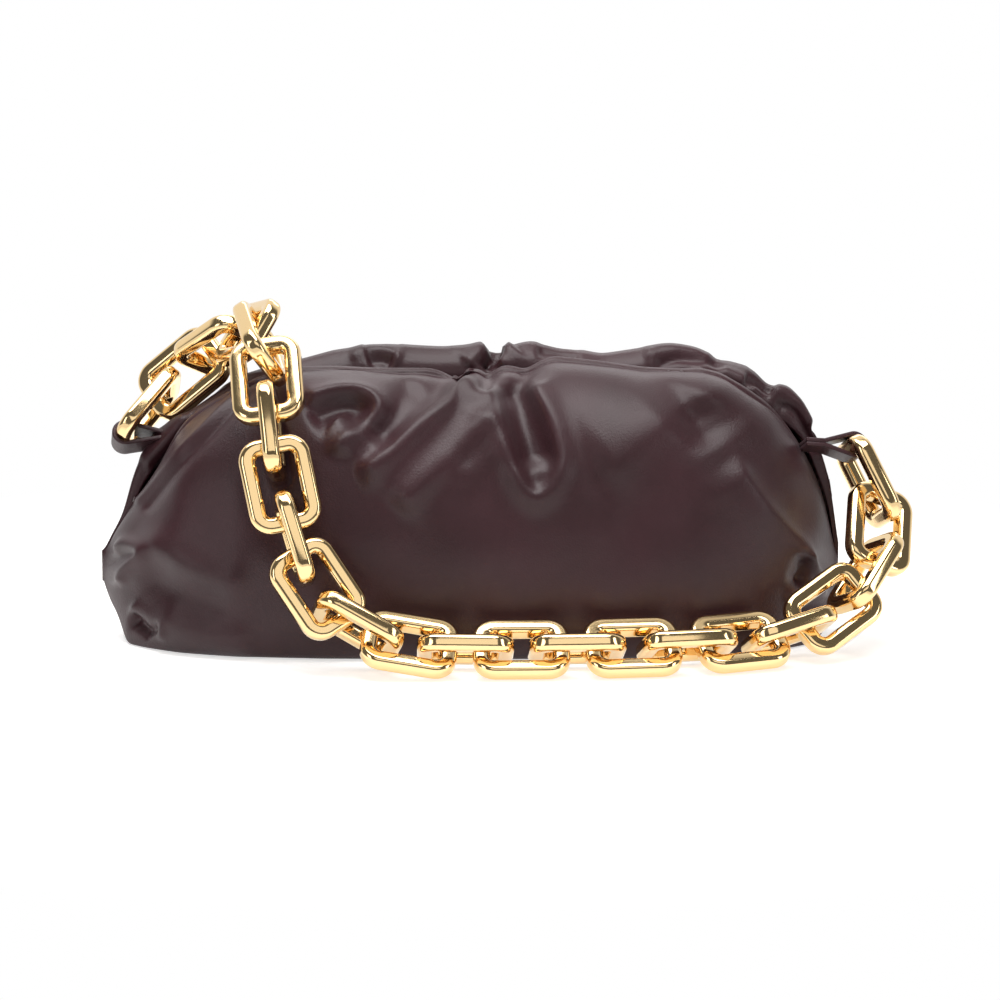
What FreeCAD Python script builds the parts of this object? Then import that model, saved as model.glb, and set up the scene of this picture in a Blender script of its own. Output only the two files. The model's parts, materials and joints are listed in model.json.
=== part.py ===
import FreeCAD
import Part
import Sketcher
import math
import os

# Chain shoulder bag: a slumped leather pouch with a hinged mouth frame under its
# rim and a chain of heavy closed links that runs from the left end over the left
# shoulder, down the front, along the floor and up to the right end.
#
# Frame: origin at the middle of the base on the floor, +Z up, +X along the width
# to the viewer's right, -Y towards the viewer.  All lengths are in millimetres.

Vector = FreeCAD.Vector

doc = FreeCAD.newDocument("chain_shoulder_bag")
sheet = doc.addObject("Spreadsheet::Sheet", "Sizes")


# Driving sizes

SIZES = {
    # pouch
    "bag_width": 310.0,
    "bag_height": 121.0,
    "base_depth": 98.0,
    "belly_depth": 112.0,
    "mouth_depth": 17.4,
    "leather": 2.4,
    "lining": 1.2,
    "layer_gap": 0.3,
    "cut_overrun": 0.1,
    "board_thickness": 2.0,
    "board_length": 250.0,
    "board_margin": 1.0,
    "back_split_height": 66.0,
    # mouth frame
    "hinge_height": 74.0,
    "hinge_span": 236.0,
    "rail_flat": 130.0,
    "rail_top": 106.0,
    "rail_band": 10.0,
    "rail_thickness": 3.0,
    "rail_offset": 1.6,
    "arm_clearance": 1.5,
    "knuckle_length": 3.0,
    "knuckle_gap": 0.4,
    "knuckle_diameter": 9.0,
    "pin_diameter": 4.0,
    "pin_fit": 0.05,
    "pin_head_diameter": 6.5,
    "pin_head_length": 1.2,
    "magnet_diameter": 7.0,
    "magnet_thickness": 1.6,
    "magnet_fit": 0.05,
    "magnet_spacing": 34.0,
    "hem": 1.3,
    "hem_fit": 0.1,
    "hem_length": 118.0,
    # chain
    "link_length": 39.2,
    "link_width": 29.6,
    "link_bar": 7.0,
    "link_chamfer": 5.5,
    "link_corner_round": 3.0,
    "link_window_round": 2.4,
    "link_edge_round": 2.0,
    "link_play": 2.5,
    # tabs
    "tab_width": 11.0,
    "tab_leather": 1.8,
    "tab_bore_fit": 0.5,
    "tab_tail": 26.0,
}

for row, (alias, number) in enumerate(SIZES.items(), start=1):
    sheet.set(f"A{row}", str(number))
    sheet.setAlias(f"A{row}", alias)
doc.recompute()


class Size:
    """A length together with the sheet expression that gives it."""

    def __init__(self, value, text):
        self.value = value
        self.text = text

    def joined(self, other, sign, value):
        return Size(value, f"({self.text} {sign} {other.text})")

    def __add__(self, other):
        return self.joined(other, "+", self.value + other.value)

    def __sub__(self, other):
        return self.joined(other, "-", self.value - other.value)

    def __mul__(self, times):
        return Size(self.value * times, f"({self.text} * {times})")

    def __truediv__(self, parts):
        return Size(self.value / parts, f"({self.text} / {parts})")

    def __neg__(self):
        return Size(-self.value, f"(-{self.text})")


def size(alias):
    return Size(sheet.get(alias), f"Sizes.{alias}")


ZERO = Size(0.0, "0")


def bind(item, **properties):
    for name, length in properties.items():
        item.setExpression(name, length.text)


def place(item, x=ZERO, y=ZERO, z=ZERO):
    for axis, length in zip("xyz", (x, y, z)):
        item.setExpression(f"Placement.Base.{axis}", length.text)


def origin_plane(body, role):
    return [feature for feature in body.Origin.OriginFeatures if feature.Role == role][0]


def polygon_sketch(body, name, role, corners):
    """A closed outline whose corners are bound to the sheet one by one."""
    sketch = body.newObject("Sketcher::SketchObject", name)
    sketch.AttachmentSupport = [(origin_plane(body, role), "")]
    sketch.MapMode = "FlatFace"
    points = [Vector(across.value, up.value, 0) for across, up in corners]
    for number, point in enumerate(points):
        sketch.addGeometry(Part.LineSegment(point, points[(number + 1) % len(points)]))
    for number, (across, up) in enumerate(corners):
        following = (number + 1) % len(corners)
        sketch.addConstraint(Sketcher.Constraint("Coincident", number, 2, following, 1))
        for kind, length in (("DistanceX", across), ("DistanceY", up)):
            index = sketch.addConstraint(
                Sketcher.Constraint(kind, -1, 1, number, 1, length.value))
            sketch.setExpression(f"Constraints[{index}]", length.text)
    doc.recompute()
    return sketch


def feature(body, kind, name, profile=None, length=None, midplane=False):
    made = body.newObject(kind, name)
    if profile:
        made.Profile = profile
    if length:
        bind(made, Length=length)
    if midplane:
        made.Midplane = True
    doc.recompute()
    return made


def dressed(body, kind, name, base, wanted, **lengths):
    """A fillet or chamfer on the edges of base that wanted() picks."""
    edges = [f"Edge{number}" for number, edge in enumerate(base.Shape.Edges, start=1)
             if wanted(edge)]
    made = body.newObject(kind, name)
    made.Base = (base, edges)
    bind(made, **lengths)
    doc.recompute()
    return made


def along_z(edge):
    return edge.Curve.TypeId == "Part::GeomLine" and abs(edge.tangentAt(0).z) > 0.99


def boolean(kind, name, base, tool):
    made = doc.addObject(kind, name)
    made.Base = base
    made.Tool = tool
    return made


def shape_object(name, shape):
    made = doc.addObject("Part::Feature", name)
    made.Shape = shape
    return made


subparts = []


def subpart(item, label):
    item.Label = label
    subparts.append(item)
    return item


# Pouch: cross sections along the width, each a flat bottom, two bulging sides and
# a narrow top.  The shares are read off the slumped outline: station along half
# the width, underside and top as shares of the height, then depth and mouth shares.

STATION_SHARES = [
    (-1.00, 0.13, 0.36, 0.26, 0.35),
    (-0.95, 0.03, 0.51, 0.46, 0.55),
    (-0.86, 0.00, 0.67, 0.66, 0.75),
    (-0.70, 0.00, 0.84, 0.84, 1.00),
    (-0.42, 0.00, 0.98, 0.97, 1.00),
    (0.00, 0.00, 1.00, 1.00, 1.00),
    (0.45, 0.00, 1.00, 0.97, 1.00),
    (0.70, 0.00, 0.97, 0.84, 1.00),
    (0.86, 0.00, 0.87, 0.66, 0.85),
    (0.95, 0.03, 0.64, 0.46, 0.60),
    (1.00, 0.13, 0.40, 0.26, 0.35),
]
BELLY_SHARE = 0.36

half_width = sheet.bag_width / 2
height = sheet.bag_height


def pouch_section(station, inset):
    across, under, top, depth, mouth = station
    x = across * (half_width - inset)
    low = under * height + inset - sheet.cut_overrun
    high = top * height - inset
    bottom_half = depth * sheet.base_depth / 2 - inset
    belly_half = depth * sheet.belly_depth / 2 - inset
    top_half = mouth * (sheet.mouth_depth / 2 - inset)
    middle = (under + (top - under) * BELLY_SHARE) * height
    front = [Vector(x, -bottom_half, low), Vector(x, -belly_half, middle),
             Vector(x, -top_half, high)]
    back = [Vector(x, top_half, high), Vector(x, belly_half, middle),
            Vector(x, bottom_half, low)]
    edges = [Part.Arc(*front).toShape(), Part.makeLine(front[2], back[0]),
             Part.Arc(*back).toShape(), Part.makeLine(back[2], front[0])]
    return Part.Wire(edges)


def pouch_solid(inset):
    sections = [pouch_section(station, inset) for station in STATION_SHARES]
    return Part.makeLoft(sections, True, True)


def region(low, high):
    """A box between two corners, for cutting the pouch into its panels."""
    extent = high - low
    return Part.makeBox(extent.x, extent.y, extent.z, low)


def slab(low, high, front=-sheet.bag_width, back=sheet.bag_width):
    """Everything between two heights and two depths."""
    return region(Vector(-sheet.bag_width, front, low), Vector(sheet.bag_width, back, high))


wall = sheet.leather
sky = sheet.bag_width
split = sheet.back_split_height
lining_inset = wall + sheet.layer_gap
lining_floor = wall + sheet.board_thickness + sheet.layer_gap
mouth_half = sheet.mouth_depth / 2 - wall
mouth_reach = (sheet.hinge_span / 2 + sheet.knuckle_length + sheet.knuckle_gap
               + sheet.pin_head_length + sheet.layer_gap)

pouch_outer = pouch_solid(0).common(slab(0, sky))
mouth_slot = region(Vector(-mouth_reach, -mouth_half, split), Vector(mouth_reach, mouth_half, sky))
leather_shell = pouch_outer.cut(pouch_solid(wall)).cut(mouth_slot)

lining_outer = pouch_solid(lining_inset).common(slab(lining_floor, sky))
lining_inner = pouch_solid(lining_inset + sheet.lining).common(slab(lining_floor + sheet.lining, sky))
lining_shell = lining_outer.cut(lining_inner).cut(mouth_slot)

front_side = slab(wall, sky, back=0)
back_low = slab(wall, split, front=0)
back_top = slab(split, sky, front=0)
board_inset = wall + sheet.board_margin
board_half = sheet.board_length / 2
board_room = region(Vector(-board_half, -sheet.bag_width, board_inset),
                    Vector(board_half, sheet.bag_width, board_inset + sheet.board_thickness))
board = pouch_solid(board_inset).common(board_room).removeSplitter()
board.translate(Vector(0, 0, -sheet.board_margin))

subpart(shape_object("FrontPanel", leather_shell.common(front_side)), "front_panel")
subpart(shape_object("BackPanel", leather_shell.common(back_low)), "back_panel")
subpart(shape_object("BackGathers", leather_shell.common(back_top)), "back_gathers")
subpart(shape_object("BasePanel", pouch_outer.common(slab(0, wall)).removeSplitter()), "base_panel")
subpart(shape_object("LiningFront", lining_shell.common(front_side)), "lining_front")
subpart(shape_object("LiningBack", lining_shell.common(back_low)), "lining_back")
subpart(shape_object("LiningBackTop", lining_shell.common(back_top)), "lining_back_top")
subpart(shape_object("BaseBoard", board), "base_board")


# Mouth frame: two arched steel bands that share a hinge pin at each end.  The back
# band's knuckles sit just inside the front band's knuckles on the same pins.

band_half = size("rail_band") / 2
knuckle_half = size("knuckle_diameter") / 2
flat_half = size("rail_flat") / 2
front_reach = size("hinge_span") / 2 + size("knuckle_length")
back_reach = front_reach - size("knuckle_length") - size("knuckle_gap")
ARM_SHARE = 0.8


def rail_corners(reach):
    """Outline of the arch seen from the front: flat top, sloping arms, short feet."""
    top = size("rail_top")
    inner = top - size("rail_band")
    foot = size("hinge_height") - knuckle_half
    arm_low = size("hinge_height") + knuckle_half + size("arm_clearance")
    arm_high = arm_low + size("rail_band") * ARM_SHARE
    step = reach - size("knuckle_length")
    right = [(flat_half, top), (reach, arm_high), (reach, foot),
             (step, foot), (step, arm_low), (flat_half - size("knuckle_length"), inner)]
    left = [(-across, up) for across, up in reversed(right)]
    return right + left


def rod(name, diameter, start, length, height_size):
    """A round bar along X at the hinge or magnet height, from start to start + length."""
    bar = doc.addObject("Part::Cylinder", name)
    bind(bar, Radius=diameter / 2, Height=length)
    bar.Placement.Rotation = FreeCAD.Rotation(Vector(0, 1, 0), 90)
    place(bar, x=start, z=height_size)
    return bar


def disc(name, diameter, thickness, x, y, z):
    """A round disc whose axis runs along Y, from y towards +Y."""
    bar = doc.addObject("Part::Cylinder", name)
    bind(bar, Radius=diameter / 2, Height=thickness)
    bar.Placement.Rotation = FreeCAD.Rotation(Vector(1, 0, 0), -90)
    place(bar, x=x, y=y, z=z)
    return bar


def joined(name, items):
    made = doc.addObject("Part::MultiFuse", name)
    made.Shapes = items
    return made


MAGNET_SHARES = (-1.5, -0.5, 0.5, 1.5)
magnet_height = size("rail_top") - band_half


def magnet_row(name, diameter, thickness, y):
    """A row of discs set into the face of a band that looks at the other band."""
    discs = []
    for number, step in enumerate(MAGNET_SHARES, start=1):
        x = size("magnet_spacing") * step
        discs.append(disc(f"{name}{number}", diameter, thickness, x, y, magnet_height))
    return joined(name, discs)


def rail(label, side, reach):
    """One band of the frame: side is -1 in front and +1 at the back."""
    name = label.title().replace("_", "")
    body = doc.addObject("PartDesign::Body", f"{name}Band")
    arch = polygon_sketch(body, f"{name}Arch", "XZ_Plane", rail_corners(reach))
    band = feature(body, "PartDesign::Pad", f"{name}Pad", arch, size("rail_thickness"))
    band.Reversed = side > 0
    place(body, y=size("rail_offset") * side)
    step = reach - size("knuckle_length")
    pin_bore = size("pin_diameter") + size("pin_fit") * 2
    knuckles = []
    bores = []
    for word, start in (("Left", -reach), ("Right", step)):
        knuckles.append(rod(f"{name}Knuckle{word}", size("knuckle_diameter"), start,
                            size("knuckle_length"), size("hinge_height")))
        bores.append(rod(f"{name}Bore{word}", pin_bore, start,
                         size("knuckle_length"), size("hinge_height")))
    pocket = size("magnet_thickness") + size("magnet_fit")
    pocket_start = size("rail_offset") if side > 0 else -size("rail_offset") - pocket
    bores.append(magnet_row(f"{name}Pockets", size("magnet_diameter") + size("magnet_fit") * 2,
                            pocket, pocket_start))
    whole = joined(f"{name}Whole", [body] + knuckles)
    return subpart(boolean("Part::Cut", name, whole, joined(f"{name}Bores", bores)), label)


rail("front_rail", -1, front_reach)
rail("back_rail", 1, back_reach)

magnet_near = size("rail_offset")
front_magnets = magnet_row("FrontMagnets", size("magnet_diameter"), size("magnet_thickness"),
                           -magnet_near - size("magnet_thickness"))
subpart(front_magnets, "front_magnets")
back_magnets = magnet_row("BackMagnets", size("magnet_diameter"), size("magnet_thickness"),
                          magnet_near)
subpart(back_magnets, "back_magnets")


def hinge_pin(label, side):
    """A headed pin through one front and one back knuckle."""
    name = label.title().replace("_", "")
    inner = back_reach - size("knuckle_length") - size("knuckle_gap")
    outer = front_reach + size("knuckle_gap")
    shank = outer - inner
    head = size("pin_head_length")
    starts = [(inner, shank, "pin_diameter"), (inner - head, head, "pin_head_diameter"),
              (outer, head, "pin_head_diameter")]
    bars = []
    for number, (start, length, across) in enumerate(starts, start=1):
        begin = start if side > 0 else -start - length
        bars.append(rod(f"{name}{number}", size(across), begin, length, size("hinge_height")))
    return subpart(joined(name, bars), label)


hinge_pin("pin_left", -1)
hinge_pin("pin_right", 1)


def hem(label, side):
    """The turned-in edge of the rim: it hangs from the leather and sleeves one band."""
    name = label.title().replace("_", "")
    fit = size("hem_fit")
    sleeve = size("hem") + fit
    rim = size("bag_height") - size("leather")
    low_y = size("rail_offset") if side > 0 else -size("rail_offset") - size("rail_thickness")
    low_z = size("rail_top") - size("rail_band")
    boxes = []
    for word, grow, top in (("Outer", sleeve, rim), ("Bore", fit, size("rail_top") + fit)):
        box = doc.addObject("Part::Box", f"{name}{word}")
        bind(box, Length=size("hem_length"), Width=size("rail_thickness") + grow * 2,
             Height=top - low_z + grow)
        place(box, x=-size("hem_length") / 2, y=low_y - grow, z=low_z - grow)
        boxes.append(box)
    return subpart(boolean("Part::Cut", name, *boxes), label)


hem("front_hem", -1)
hem("back_hem", 1)


# Chain link: a heavy squared ring with bevelled corners, cut from one outline

link_half = size("link_length") / 2
side_half = size("link_width") / 2
bar = size("link_bar")
master = doc.addObject("PartDesign::Body", "LinkMaster")
outline = polygon_sketch(master, "LinkOutline", "XY_Plane", [
    (link_half, side_half), (-link_half, side_half),
    (-link_half, -side_half), (link_half, -side_half)])
block = feature(master, "PartDesign::Pad", "LinkBlock", outline, bar, midplane=True)
corners = dressed(master, "PartDesign::Chamfer", "LinkChamfer", block, along_z,
                  Size=size("link_chamfer"))
rounded = dressed(master, "PartDesign::Fillet", "LinkCorners", corners, along_z,
                  Radius=size("link_corner_round"))
opening = polygon_sketch(master, "LinkWindow", "XY_Plane", [
    (link_half - bar, side_half - bar), (bar - link_half, side_half - bar),
    (bar - link_half, bar - side_half), (link_half - bar, bar - side_half)])
window = feature(master, "PartDesign::Pocket", "LinkOpening", opening, bar, midplane=True)


def window_corner(edge):
    return along_z(edge) and abs(edge.CenterOfMass.x) < link_half.value - bar.value / 2 and \
        abs(edge.CenterOfMass.y) < side_half.value - bar.value / 2


inside = dressed(master, "PartDesign::Fillet", "LinkWindowCorners", window, window_corner,
                 Radius=size("link_window_round"))


def rim_edge(edge):
    return abs(abs(edge.CenterOfMass.z) - bar.value / 2) < sheet.layer_gap


dressed(master, "PartDesign::Fillet", "LinkEdges", inside, rim_edge,
        Radius=size("link_edge_round"))


# Chain route: hand-picked places that the chain passes, as shares of half the width,
# half the greatest depth and the height.  A height of None lies on the floor.

ROUTE_SHARES = [
    (-0.935, 0.089, 0.694), (-0.852, 0.321, 0.818), (-0.742, 0.357, 0.938),
    (-0.639, 0.161, 1.037), (-0.568, -0.232, 1.087), (-0.535, -0.643, 1.008),
    (-0.516, -0.964, 0.785), (-0.471, -1.179, 0.512), (-0.374, -1.330, 0.240),
    (-0.239, -1.375, 0.126), (0.000, -1.375, None), (0.323, -1.339, None),
    (0.613, -1.214, None), (0.852, -0.964, 0.106), (0.990, -0.759, 0.186),
    (1.085, -0.500, 0.322), (1.103, -0.214, 0.479), (1.027, -0.086, 0.672),
]

# The way the facing links look at each part of the route, chosen by hand and tried until
# every link clears the next and the pouch, then the roll in degrees of the links between
# them away from square.

FACING_SHARES = [
    (0.000, (0.10, -0.80, 0.50)), (0.050, (-0.40, -0.80, 0.40)), (0.090, (-0.70, -0.50, 0.40)),
    (0.140, (-0.80, -0.20, 0.60)), (0.180, (-0.50, -0.40, 0.80)), (0.230, (-0.10, -0.80, 0.60)),
    (0.330, (0.10, -0.93, 0.35)), (0.410, (0.20, -0.88, 0.42)), (0.500, (0.00, -0.56, 0.83)),
    (0.700, (0.12, -0.55, 0.83)), (0.820, (0.20, -0.50, 0.84)), (0.870, (0.45, -0.66, 0.60)),
    (0.940, (0.40, -0.88, 0.25)), (1.000, (0.35, -0.92, 0.10)),
]
ROLL_SHARES = [(0.00, 0.0), (0.45, 5.0), (0.55, 32.0), (0.82, 28.0), (0.90, 5.0), (1.00, 0.0)]
LEAN_DEGREES = 34.0
ROUTE_SAMPLES = 4000
SOLVE_STEPS = 40

bar_half = sheet.link_bar / 2
bar_reach = (sheet.link_length - sheet.link_bar) / 2
edge_round = sheet.link_edge_round
chain_reach = max(sheet.base_depth, sheet.belly_depth) / 2
lean = math.radians(LEAN_DEGREES)
floor_axis = ((sheet.link_width - sheet.link_bar) / 2 * math.sin(lean)
              + (bar_half - edge_round) * (math.cos(lean) + math.sin(lean)) + edge_round)


def route_points():
    places = []
    for across, forward, up in ROUTE_SHARES:
        z = floor_axis if up is None else up * height
        places.append(Vector(across * half_width, forward * chain_reach, z))
    curve = Part.BSplineCurve()
    curve.interpolate(places)
    points = curve.discretize(Number=ROUTE_SAMPLES)
    return [Vector(point.x, point.y, max(point.z, floor_axis)) for point in points]


def walk(points, pitch, count):
    """Pivots of a chain laid along the route, or None where the route is too short."""
    pivots = [points[0]]
    index = 0
    for number in range(count):
        ending = number in (0, count - 1)
        wanted = bar_reach + pitch / 2 if ending else pitch
        while index < len(points) and points[index].distanceToPoint(pivots[-1]) < wanted:
            index += 1
        if index == len(points):
            return None
        pivots.append(points[index])
    return pivots


def chain_pivots():
    points = route_points()
    longest = sheet.link_length - sheet.link_bar * 2 - sheet.link_play
    count = 2
    while walk(points, longest, count):
        count += 1
    low, high = longest / 2, longest
    for step in range(SOLVE_STEPS):
        middle = (low + high) / 2
        if walk(points, middle, count):
            low = middle
        else:
            high = middle
    return walk(points, low, count), low


def between(table, share):
    """The value of a table at a share of the route, numbers or directions alike."""
    for (start, first), (stop, second) in zip(table, table[1:]):
        if share <= stop:
            part = (share - start) / (stop - start)
            if isinstance(first, tuple):
                return Vector(*first) * (1 - part) + Vector(*second) * part
            return first * (1 - part) + second * part


def unit(vector):
    return Vector(vector) * (1 / vector.Length)


def square_to(vector, axis):
    return unit(vector - axis * vector.dot(axis))


pivots, pitch = chain_pivots()
link_count = len(pivots) - 1
links = []
for number in range(1, link_count + 1):
    start, stop = pivots[number - 1], pivots[number]
    along = unit(stop - start)
    share = (number - 1) / (link_count - 1)
    normal = square_to(between(FACING_SHARES, share), along)
    if number % 2:
        roll = FreeCAD.Rotation(along, between(ROLL_SHARES, share))
        normal = roll.multVec(along.cross(normal))
    centre = (start + stop) / 2
    if number == 1:
        centre = start + along * bar_reach
    if number == link_count:
        centre = stop - along * bar_reach
    sideways = normal.cross(along)
    turn = FreeCAD.Rotation(along, sideways, normal, "XZY")
    link = doc.addObject("PartDesign::Body", f"Link{number:02d}")
    copy = link.newObject("PartDesign::FeatureBase", f"Link{number:02d}Copy")
    copy.BaseFeature = master
    link.Tip = copy
    link.Placement = FreeCAD.Placement(centre, turn)
    links.append(subpart(link, f"link_{number:02d}"))


# Tabs: a leather strap looped round the end bar of the chain, its tail sewn flat
# against the end of the pouch

edge = size("link_edge_round")
tab_bore = (bar / 2 - edge) * math.sqrt(2) + edge + size("tab_bore_fit")
tab_outer = tab_bore + size("tab_leather")
pouch_tool = shape_object("PouchOutside", pouch_outer)


def tab(label, link, end, inward):
    """end is -1 for the near bar of the link and +1 for its far bar."""
    name = label.title().replace("_", "")
    turn = link.Placement.Rotation
    bar_axis = turn.multVec(Vector(0, 1, 0))
    middle = link.Placement.multVec(Vector(end * bar_reach, 0, 0))
    tail = square_to(inward, bar_axis)
    frame = FreeCAD.Placement(middle - bar_axis * (sheet.tab_width / 2),
                              FreeCAD.Rotation(tail, Vector(), bar_axis, "ZXY"))
    loop = doc.addObject("Part::Cylinder", f"{name}Loop")
    bind(loop, Radius=tab_outer, Height=size("tab_width"))
    strap = doc.addObject("Part::Box", f"{name}Strap")
    bind(strap, Length=size("tab_tail"), Height=size("tab_width"), Width=size("tab_leather") * 2)
    bore = doc.addObject("Part::Cylinder", f"{name}Bore")
    bind(bore, Radius=tab_bore, Height=size("tab_width"))
    loop.Placement = frame
    bore.Placement = frame
    strap.Placement = frame.multiply(FreeCAD.Placement(Vector(0, -sheet.tab_leather, 0),
                                                       FreeCAD.Rotation()))
    hollow = boolean("Part::Cut", f"{name}Hollow", joined(f"{name}Whole", [loop, strap]), bore)
    return subpart(boolean("Part::Cut", name, hollow, pouch_tool), label)


tab("tab_left", links[0], -1, Vector(1, 0, 0))
tab("tab_right", links[-1], 1, Vector(-1, 0, 0))


# Checks, then one file for each sub-part

doc.recompute()
for item in doc.Objects:
    if "Invalid" in item.State or "Error" in item.State:
        raise RuntimeError(f"{item.Label}: {item.State}")
for item in subparts:
    if item.Shape.isNull() or not item.Shape.isValid() or not item.Shape.Solids:
        raise RuntimeError(f"{item.Label} has no valid solid")

os.makedirs("parts", exist_ok=True)
for item in subparts:
    item.Shape.exportStep(f"parts/{item.Label}.step")
print(f"{len(subparts)} sub-parts, {link_count} links at a pitch of {pitch:.2f}")
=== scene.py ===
# %% [markdown]
# # A gathered leather shoulder bag with a heavy gold chain
#
# The bag is a soft pouch of plum-brown leather that slumps on its base.  Its mouth is
# a hidden hinged frame, and the leather is gathered over that frame, so that folds run
# down the front.  A chain of thick squared links is its strap.  The frame, the pins, the
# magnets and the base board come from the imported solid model.  The leather, the lining,
# the two leather tabs and the rounded links are made here in the place of plainer solids,
# because folds and soft edges are what the eye sees.

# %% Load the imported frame
import json
import math

import bpy
import numpy as np
from mathutils import Matrix, Vector


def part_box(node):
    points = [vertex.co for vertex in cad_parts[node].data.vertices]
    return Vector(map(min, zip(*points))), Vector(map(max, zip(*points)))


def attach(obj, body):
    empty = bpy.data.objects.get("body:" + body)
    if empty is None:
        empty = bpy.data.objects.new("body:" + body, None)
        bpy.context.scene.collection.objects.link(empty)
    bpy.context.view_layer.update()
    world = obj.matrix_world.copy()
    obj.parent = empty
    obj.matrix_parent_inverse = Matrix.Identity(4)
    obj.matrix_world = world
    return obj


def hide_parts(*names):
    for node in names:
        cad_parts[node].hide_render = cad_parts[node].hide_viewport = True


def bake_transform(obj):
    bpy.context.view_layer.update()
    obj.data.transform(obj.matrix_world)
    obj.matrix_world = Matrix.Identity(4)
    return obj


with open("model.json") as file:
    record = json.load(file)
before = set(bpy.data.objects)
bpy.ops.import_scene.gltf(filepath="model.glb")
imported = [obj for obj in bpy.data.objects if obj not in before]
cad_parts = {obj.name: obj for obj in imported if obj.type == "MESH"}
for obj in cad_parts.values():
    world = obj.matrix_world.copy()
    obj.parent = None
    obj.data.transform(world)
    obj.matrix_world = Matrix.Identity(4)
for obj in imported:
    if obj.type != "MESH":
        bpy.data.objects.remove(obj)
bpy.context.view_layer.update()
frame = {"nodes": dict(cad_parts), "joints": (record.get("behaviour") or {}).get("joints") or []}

scene = bpy.context.scene
MM = 0.001

# %% [markdown]
# ## The camera
#
# The picture was taken with a long lens from a little above the rim.  A long lens keeps
# the two ends of the bag at the same scale.  The same numbers are kept in one function
# that says on which pixel of the picture a point falls, so that a fold which was seen on
# the picture can be put on the leather where it belongs.

# %% Camera
TARGET = np.array([12.6, 0.0, 58.0])
DISTANCE = 1600.0
RISE = math.radians(10.0)
FOCAL_PIXELS = 3810.0
PICTURE = 1000.0
SENSOR_MM = 36.0
eye = TARGET + DISTANCE * np.array([0.0, -math.cos(RISE), math.sin(RISE)])

lens = bpy.data.cameras.new("product_camera")
lens.sensor_width = SENSOR_MM
lens.lens = FOCAL_PIXELS * lens.sensor_width / PICTURE
camera = bpy.data.objects.new("product_camera", lens)
camera.location = Vector(eye * MM)
camera.rotation_euler = (math.pi / 2 - RISE, 0.0, 0.0)
scene.collection.objects.link(camera)
scene.camera = camera


def on_picture(points):
    """Pixel across and pixel down of points given in millimetres."""
    away = points - eye
    depth = away[..., 1] * math.cos(RISE) - away[..., 2] * math.sin(RISE)
    up = away[..., 1] * math.sin(RISE) + away[..., 2] * math.cos(RISE)
    across = PICTURE / 2 + FOCAL_PIXELS * away[..., 0] / depth
    down = PICTURE / 2 - FOCAL_PIXELS * up / depth
    return np.stack([across, down], axis=-1)


def from_picture(pixels, y):
    """Points in millimetres at a depth y that fall on given pixels."""
    pixels = np.array(pixels, float)
    across = (pixels[:, 0] - PICTURE / 2) / FOCAL_PIXELS
    up = (PICTURE / 2 - pixels[:, 1]) / FOCAL_PIXELS
    away = y - eye[1]
    rise = away * (up * math.cos(RISE) - math.sin(RISE)) / (math.cos(RISE) + up * math.sin(RISE))
    depth = away * math.cos(RISE) - rise * math.sin(RISE)
    return np.stack([eye[0] + across * depth, np.full(len(pixels), y), eye[2] + rise], axis=-1)


print("lens %.1f mm" % lens.lens)

# %% [markdown]
# ## The slumped form
#
# A bag that sags has no flat side.  Seen end on, each slice of it is a flat base, a side
# that bulges out low down and a shoulder that leans in to the mouth.  Seen from the front
# its outline is a long hump whose left shoulder has dropped.  So the form is a row of
# slices along the width: tables give each slice its underside, its rim and its depth, and
# every table is softened a little, because leather has no corners.

# %% Outline of the form: rims in pixels of the picture, the rest in millimetres
HALF_WIDTH = 155.0
LEFT_END_HEIGHT = 36.0
RIGHT_END_HEIGHT = 30.0
FRONT_RIM_PIXELS = [
    (104, 552), (113, 532), (129, 506), (147, 484), (160, 463), (172, 440), (182, 424), (196, 411),
    (210, 402), (228, 392), (258, 377), (293, 367), (334, 366), (374, 368), (430, 368), (444, 372),
    (457, 381), (468, 373), (478, 366), (488, 378), (495, 369), (504, 365), (514, 366), (525, 370),
    (538, 362), (553, 356), (599, 361), (642, 367), (679, 369), (702, 368), (721, 373), (747, 388),
    (771, 405), (789, 426), (806, 452), (820, 480), (829, 510), (834, 540)]
BACK_RIM_PIXELS = [
    (104, 550), (113, 527), (127, 504), (133, 474), (137, 462), (145, 444), (159, 426), (173, 410),
    (187, 402), (215, 388), (240, 376), (265, 369), (293, 362), (334, 350), (387, 345), (441, 347),
    (486, 345), (498, 350), (512, 344), (530, 340), (561, 347), (601, 354), (643, 347), (672, 345),
    (695, 349), (721, 360), (747, 368), (766, 380), (785, 386), (801, 398), (808, 414), (815, 435),
    (825, 457), (831, 490), (835, 530)]
UNDERSIDE = [
    (-155, 27), (-154, 22), (-151, 16), (-148, 12), (-145.5, 6), (-144, 1), (-142, 0),
    (143, 0), (148, 3), (152, 11), (154, 20), (155, 29)]
BELLY = [
    (-155, 0), (-153, 12), (-150, 20), (-145, 27), (-136, 35), (-120, 44), (-95, 51), (-60, 55),
    (0, 56), (60, 55), (95, 51), (118, 44), (136, 34), (146, 25), (151, 17), (154, 8), (155, 0)]
BELLY_SHARE = 0.36
BASE_SHARE = 0.84
FRONT_RIM_Y = -7.0
BACK_RIM_Y = 13.0
LIP_RISE = 2.0
EVEN_SHARE = 0.45
FINE_STEP = 0.25
FINE_REACH = 170.0
KERNEL_REACH = 3
FINE = np.arange(-FINE_REACH, FINE_REACH + FINE_STEP / 2, FINE_STEP)


def along_width(x, rows, blur):
    """A table of (place, value) read at x after smoothing it over some millimetres."""
    places, values = np.array(rows, float).T
    line = np.interp(FINE, places, values)
    reach = int(math.ceil(KERNEL_REACH * blur / FINE_STEP))
    kernel = np.exp(-0.5 * (np.arange(-reach, reach + 1) * FINE_STEP / blur) ** 2)
    padded = np.pad(line, reach, mode="edge")
    return np.interp(x, FINE, np.convolve(padded, kernel / kernel.sum(), mode="valid"))


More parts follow.
